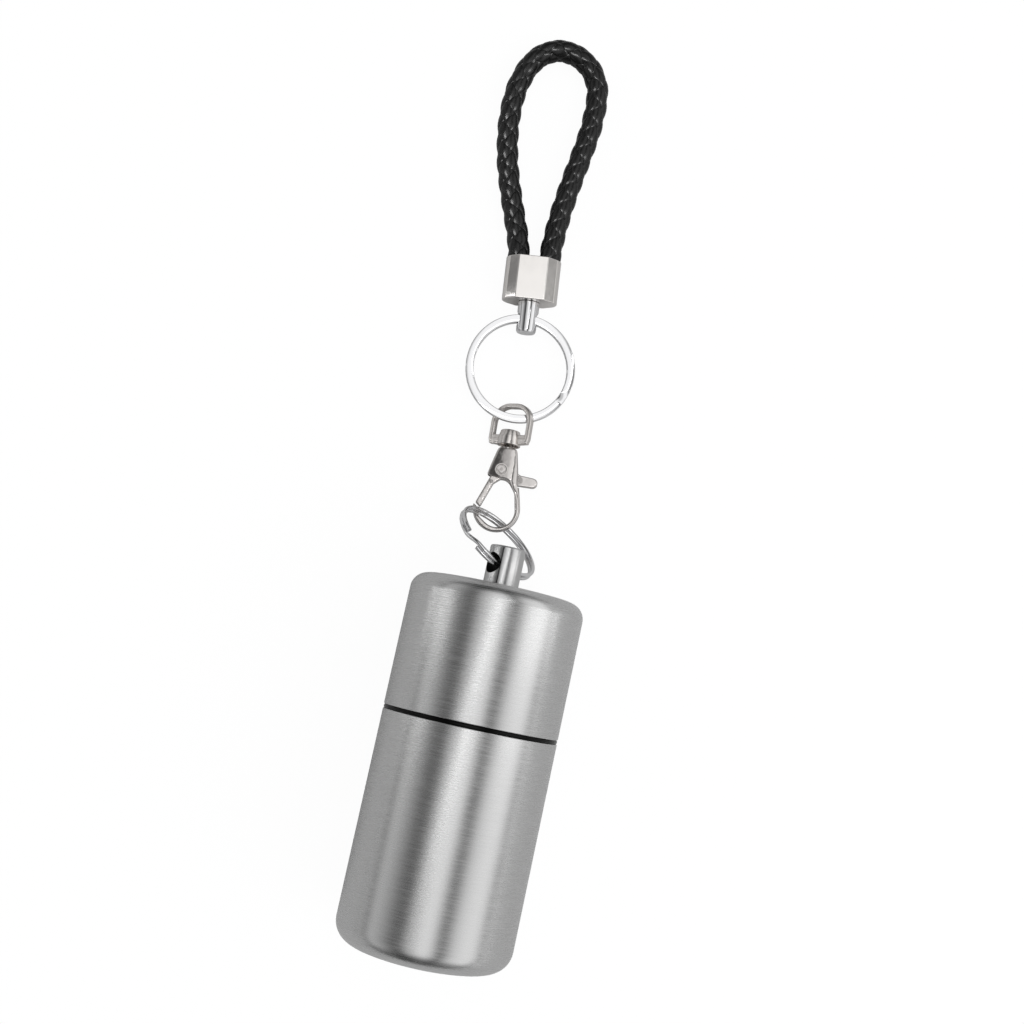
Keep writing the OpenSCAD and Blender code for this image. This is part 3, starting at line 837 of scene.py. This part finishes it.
# the tilt brings the middle of the strip to the shank's height at the shank's side
eye_cross = CLASP.at((0, 7.75, 0))
key_tilt = math.degrees(
    math.asin(
        ((SHANK_Z - eye_cross[2]) / KEY_R + (cos(SHANK_AT) - cos(EYE_AT)) * sin(KEY_ROLL))
        / ((sin(SHANK_AT) - sin(EYE_AT)) * cos(KEY_ROLL))
    )
)
key_axes = turn(key_tilt, KEY_ROLL, 0)
KEY_RING = Place(eye_cross - KEY_R * key_axes @ [cos(EYE_AT), sin(EYE_AT), 0], key_axes)

strip = rounded(
    [
        (-STRIP_X, -STRIP_Z, 0.2), (STRIP_X, -STRIP_Z, 0.2), (STRIP_X, STRIP_Z, 0.2),
        (-STRIP_X, STRIP_Z, 0.2),
    ],
    True,
    3,
)
key = split_ring(
    "key_ring_strip", split_path(KEY_R, KEY_LIFT, -22, 15, gap=-0.5), strip, KEY_RING
)
finish_piece(key, "key_ring", "key_ring")

# --- shank ---
# A bright turned stud with a cross hole, which hangs on the key ring. It flares to a collar outside
# the ferrule's floor and has its head inside, so the ferrule turns on it.

CORD_YAW = 5.7
CROSS_HOLE_R, CROSS_HOLE_Z = 1.95, -4.7
shank_point = KEY_RING.at((KEY_R * cos(SHANK_AT), KEY_R * sin(SHANK_AT), 0))
ferrule_point = shank_point - CROSS_HOLE_Z * np.array([-sin(CORD_YAW), cos(CORD_YAW), 0])
FERRULE = Place(ferrule_point, turn(-90, 0, CORD_YAW))

shank_profile = rounded(
    [
        (0, -8.6, 0), (2.45, -8.6, 0.3), (2.7, -8.0, 0.3), (3.0, -0.1, 0.15), (1.8, -0.1, 0.05),
        (1.8, 1.85, 0.05), (2.7, 1.85, 0.1), (2.7, 2.85, 0.2), (0, 2.85, 0),
    ]
)
shank = solid("ring_shank_turned", *revolve(shank_profile, FERRULE, 96), BRIGHT)
cut(shank, *rod(CROSS_HOLE_R, -6, 6, FERRULE.then((0, 0, CROSS_HOLE_Z), 0, 90, KEY_ROLL), 64))
break_edges(shank, 0.15, 2)
finish_piece(shank, "shank", "ring_shank")

# --- ferrule ---
# A thick plated sleeve with flat front and back, slanting facets and round sides. Both ends of the
# cord are pressed side by side into its pocket.

SLEEVE_END, POCKET_FLOOR = 12.2, 1.8
FOOT_ROUND, LIP_ROUND, POCKET_ROUND = 0.35, 0.22, 0.12
FERRULE_METAL = plated("ferrule nickel", (0.84, 0.815, 0.79), 0.1, 0.05)


def polar(outline):
    """An outline round the middle at even angles: its radius as a function of its angle, read from
    many points along it."""
    angles = np.linspace(0, FULL, 360, endpoint=False)
    p = resample(outline, 0.02)
    a = np.arctan2(p[:, 1], p[:, 0])
    order = np.argsort(a)
    radius = np.interp(angles, a[order], np.hypot(p[:, 0], p[:, 1])[order], period=FULL)
    return np.stack([radius * np.cos(angles), radius * np.sin(angles)], axis=1)


def level(outline, inset, z):
    """An outline at a height, each point moved straight in by the inset."""
    r = np.linalg.norm(outline, axis=1)[:, None]
    return np.column_stack([outline * (1 - inset / r), np.full(len(outline), z)])


sleeve = polar(belt([
    (4.2, 0, 3.4), (3.85, 4.3, 0.3), (-3.85, 4.3, 0.3), (-4.2, 0, 3.4), (-3.85, -4.3, 0.3),
    (3.85, -4.3, 0.3),
]))
pocket = polar(belt([(4.15, 0, 2.96), (-4.15, 0, 2.96)]))
quarter = [(math.sin(a), math.cos(a)) for a in np.linspace(0, math.pi / 2, 5)]
ferrule_rows = [
    level(sleeve * 0.24, 0, 0.0),
    *(level(sleeve, FOOT_ROUND * (1 - s), FOOT_ROUND * (1 - c)) for s, c in quarter),
    *(level(sleeve, LIP_ROUND * (1 - c), SLEEVE_END - LIP_ROUND * (1 - s)) for s, c in quarter),
    level(pocket, -POCKET_ROUND, SLEEVE_END),
    level(pocket, 0, SLEEVE_END - 0.15),
    level(pocket, 0, POCKET_FLOOR),
    level(pocket * 0.62, 0, POCKET_FLOOR),
]
ferrule = skin(FERRULE.at(ferrule_rows), closed=True)
finish_piece(solid("ferrule_sleeve", *ferrule, FERRULE_METAL, 25), "cord_end", "ferrule")

# --- braided cord ---
# Six flat strips of glossy black leather, three to each hand, plaited over one and under one round
# a soft core. The strips touch, so the cord shows diamond cells with dark lines between them.

CORD = Place((ferrule_point[0], ferrule_point[1], 0), turn(0, 0, CORD_YAW))
CORD_D, CORE_R = 6.0, 1.5
ROUTE = [
    (-4.15, 3.4, 4.6), (-4.15, 8, 4.6), (-4.3, 12.6, 4.5), (-5.3, 18.7, 3.6), (-7.4, 26.6, 3.1),
    (-9.4, 34.5, 3.05), (-10.8, 42.2, 3.05), (-11.4, 52.4, 3.05), (-10, 62.6, 3.05),
    (-5.9, 70.6, 3.05), (0.8, 73.85, 3.05), (8, 71.2, 3.05), (12.1, 64.2, 3.05), (11.9, 54, 3.05),
    (10, 44.6, 3.05), (8, 36.4, 3.05), (6.2, 28.1, 3.1), (4.9, 19.9, 3.6), (4.25, 12.6, 4.5),
    (4.15, 8, 4.6), (4.15, 3.4, 4.6),
]
LEAD = 17.0
LEATHER_W, LEATHER_THICK, LEATHER_END = 4.0, 0.95, 0.6
PLAIT_R, WAVE = 2.41, 0.24
SLOPE_R = 2.6
SLOPE = math.atan2(FULL * SLOPE_R, LEAD)


def curve(points, steps):
    """The CAD's smooth line through its route's points. Between two of them it is the cubic whose
    direction at each is half the way from the point before it to the point after."""
    p = np.array(points, float)
    ends = np.concatenate([p[:1], p, p[-1:]])
    a, b, c, d = (ends[k:k + len(p) - 1, None] for k in range(4))
    t = np.arange(steps)[:, None] / steps
    line = 0.5 * (
        2 * b + (c - a) * t + (2 * a - 5 * b + 4 * c - d) * t ** 2
        + (3 * b - a - 3 * c + d) * t ** 3
    )
    return np.concatenate([line.reshape(-1, 3), p[-1:]])


cord_line = resample(CORD.at(curve(ROUTE, 24)), 0.45, closed=False)
cord_s = np.concatenate([[0], np.cumsum(np.linalg.norm(np.diff(cord_line, axis=0), axis=1))])
cord_ahead = np.gradient(cord_line, axis=0)
cord_ahead /= np.linalg.norm(cord_ahead, axis=1)[:, None]
cord_side = np.cross(cord_ahead, (0, 0, 1))
cord_side /= np.linalg.norm(cord_side, axis=1)[:, None]
cord_over = np.cross(cord_side, cord_ahead)


def on_cord(values, along):
    """Vectors given along the cord's line, read at other lengths along it."""
    return np.stack([np.interp(along, cord_s, values[:, k]) for k in range(3)], axis=-1)


def strand(hand, start):
    """One strip of the braid: a flat helix round the cord's line, one turn a lead. Its distance
    from the line goes up and down with the cosine of three times its angle, over one crossing and
    under the next. Its section is as wide as the strip, with a crown that is part parabola and
    part rounded box, and its width lies square to the helix."""
    s = np.arange(LEATHER_END, cord_s[-1] - LEATHER_END, 0.45)
    angle = start + hand * FULL * s / LEAD
    lift = hand * WAVE * np.cos(3 * FULL * s / LEAD)
    u = np.cos(np.linspace(0, math.pi, 13))
    crown = 0.5 * LEATHER_THICK * (0.3 * (1 - u ** 2) + 0.7 * (1 - np.abs(u) ** 5) ** 0.5)
    lateral = 0.5 * LEATHER_W * np.concatenate([u, u[-2:0:-1]])
    height = np.concatenate([crown, -crown[-2:0:-1]])
    along = np.clip(s[:, None] - hand * lateral * math.sin(SLOPE), 0, cord_s[-1])
    theta = (angle[:, None] + lateral * math.cos(SLOPE) / SLOPE_R)[..., None]
    r = (PLAIT_R + lift[:, None] + height)[..., None]
    outward = np.cos(theta) * on_cord(cord_side, along) + np.sin(theta) * on_cord(cord_over, along)
    return skin(on_cord(cord_line, along) + r * outward)


def braid_leather():
    """Glossy black strip leather with a fine grain."""
    gloss = {"Coat Weight": 0.25, "Coat Roughness": 0.2, "Specular IOR Level": 0.2}
    s = Finish("braid black", (0.006, 0.006, 0.006), 0.3, gloss)
    point = s.add("ShaderNodeTexCoord", out="Object")
    grain = s.add("ShaderNodeTexNoise", None, {"Vector": point, "Scale": 1900, "Detail": 3}, "Fac")
    share = s.share(grain)
    s.tint(share, (0.003, 0.003, 0.003), (0.007, 0.007, 0.007))
    s.rough(0.2 + 0.16 * share)
    s.bump(grain, 0.2, 0.05)
    return s.material


HOLLOW = Finish("braid core", (0.004, 0.004, 0.004), 0.8).material
strands = [strand(hand, k * FULL / 3) for hand in (1, -1) for k in range(3)]
braid = solid("cord_loop_braid", *merged(*strands), braid_leather(), 60)
finish_piece(braid, "cord_end", "cord_loop")
core = solid("cord_loop_core", *sweep(cord_line, circle(CORE_R, 16), (0, 0, 1)), HOLLOW)
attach(core, "cord_end")

# --- table ---
# A pale matt table top far wider than the picture. To the camera it is mostly clear, so it takes
# the backdrop's white and keeps the shadows, and from below it is clear altogether.

TABLE_HALF, TABLE_Z = 3000.0, -0.02
TABLE_CLEAR = 0.9

pale = Finish("table", (0.6, 0.6, 0.6), 0.9, {"Specular IOR Level": 0.0})
to_camera = pale.add("ShaderNodeLightPath", out="Is Camera Ray")
from_below = pale.add("ShaderNodeNewGeometry", out="Backfacing")
clear = (TABLE_CLEAR * to_camera).math("MAXIMUM", from_below)
glass = pale.add("ShaderNodeBsdfTransparent")
seen = pale.add(
    "ShaderNodeMixShader", None, {0: clear, 1: Signal(pale, pale.shader.outputs[0]), 2: glass}
)
pale.feed(pale.tree.nodes["Material Output"].inputs["Surface"], seen)
corners = TABLE_HALF * np.array([(-1, -1, 0), (1, -1, 0), (1, 1, 0), (-1, 1, 0)])
table_top = solid("table_top", corners, [(0, 1, 2, 3)], pale.material)
table_top.data.transform(Matrix.Translation((0, 0, TABLE_Z * MM)))

# --- room ---
# What the metal mirrors: long panels of light and dark gaps beside the canister, each set by its
# angle about the canister's axis from straight above. The camera itself sees plain white.

PANELS = [
    (-180, 0.32), (-100, 0.36), (-88, 0.5), (-84, 0.16), (-77, 0.16), (-73, 0.52), (-66, 0.46),
    (-52, 0.3), (-38, 0.08), (-26, 0.05), (-18, 0.46), (-9, 0.5), (-4, 0.8), (11, 0.86), (20, 0.16),
    (24, 0.04), (28, 0.05), (40, 0.66), (62, 0.84), (73, 0.76), (77, 0.28), (84, 0.28), (88, 0.7),
    (100, 0.5), (180, 0.32),
]
ROOM, ROOM_ENDS, BACKDROP = 1.3, 0.2, 1.06

world = bpy.data.worlds.new("studio")
bpy.context.scene.world = world
world.use_nodes = True
world.node_tree.nodes.clear()
room = Nodes(world.node_tree)
direction = room.add("ShaderNodeTexCoord", out="Generated")
x, y, z = (room.add("ShaderNodeSeparateXYZ", None, {0: direction}, axis) for axis in "XYZ")
# the angle from straight above, as a share of the whole round, picks the panel
stops = [((angle + 180) / 360, (tone, tone, tone, 1)) for angle, tone in PANELS]
panels = room.add(
    "ShaderNodeValToRGB", {"stops": stops}, {0: x.math("ARCTAN2", z) * (1 / FULL) + 0.5}
)
# the panels end before the two ends of the room
ends = {"Value": y.math("ABSOLUTE"), "From Min": 0.6, "From Max": 0.95, "To Min": ROOM,
        "To Max": ROOM_ENDS}
strength = room.add("ShaderNodeMapRange", {"interpolation_type": "SMOOTHSTEP"}, ends)
mirrored = room.add("ShaderNodeBackground", None, {0: panels, 1: strength})
white = room.add("ShaderNodeBackground", None, {0: (1, 1, 1, 1), 1: BACKDROP})
to_camera = room.add("ShaderNodeLightPath", out="Is Camera Ray")
shown = room.add("ShaderNodeMixShader", None, {0: to_camera, 1: mirrored, 2: white})
room.add("ShaderNodeOutputWorld", None, {0: shown})

# --- lamps ---
# Two soft boxes give the light and the shadows. Two narrow lamps light the braid alone, for its
# highlights, and three strips along the canister show only as thin lines in the metal.

LAMP_REACH = 1.1


def softbox(name, place, aim, size, power, mirrored=False):
    """A rectangular lamp at a place, facing a point, in metres. Metal mirrors it only if asked."""
    light = bpy.data.lights.new(name, "AREA")
    light.shape = "RECTANGLE"
    light.size, light.size_y = size
    light.energy = power
    obj = bpy.data.objects.new(name, light)
    obj.location = place
    obj.rotation_euler = (Vector(aim) - Vector(place)).to_track_quat("-Z", "Y").to_euler()
    obj.visible_glossy = mirrored
    bpy.context.scene.collection.objects.link(obj)
    return obj


def beside(side, y):
    """A lamp's place, side degrees from straight above the canister's line."""
    return LAMP_REACH * sin(side), y, LAMP_REACH * cos(side)


softbox("key", (0.55, -0.25, 0.75), (0, 0.02, 0.01), (0.5, 0.9), 3.0)
softbox("fill", (-0.6, 0.35, 0.6), (0, 0.02, 0.01), (0.5, 0.7), 0.6)
plait = bpy.data.collections.new("plait")
plait.objects.link(braid)
for side, power in ((-22, 5.0), (40, 3.0)):
    glint = softbox(
        f"glint_{side}", beside(side, 0.12), (0, 0.12, 0.0), (0.12, 0.5), power, mirrored=True
    )
    glint.light_linking.receiver_collection = plait
for side in (4, -77, 66):
    softbox(f"strip_{side}", beside(side, 0.1), (0, 0.03, 0.01), (0.03, 1.0), 0.3, mirrored=True)

# --- camera ---
# It looks almost straight down from 0.39 m, a little tilted and turned, as the photo was taken. Its
# place, angles and focal length, in pixels of a 1024 wide frame, fit the photo's outlines.

FRAME_PX, FOCAL_PX, SENSOR = 1024, 1442.03, 36
CAMERA_X, CAMERA_Y, CAMERA_Z = 8.27, SEAM_Y + 11.65, 391.78
CAMERA_TILT, CAMERA_TURN = 6.8526, 12.1785

lens = bpy.data.cameras.new("photo")
lens.sensor_width = SENSOR
lens.lens = FOCAL_PX * SENSOR / FRAME_PX
lens.clip_start = 0.02
camera = bpy.data.objects.new("photo", lens)
camera.location = (CAMERA_X * MM, CAMERA_Y * MM, CAMERA_Z * MM)
camera.rotation_euler = (math.radians(CAMERA_TILT), 0, math.radians(CAMERA_TURN))
bpy.context.scene.collection.objects.link(camera)
bpy.context.scene.camera = camera
bpy.context.scene.view_settings.view_transform = "Standard"
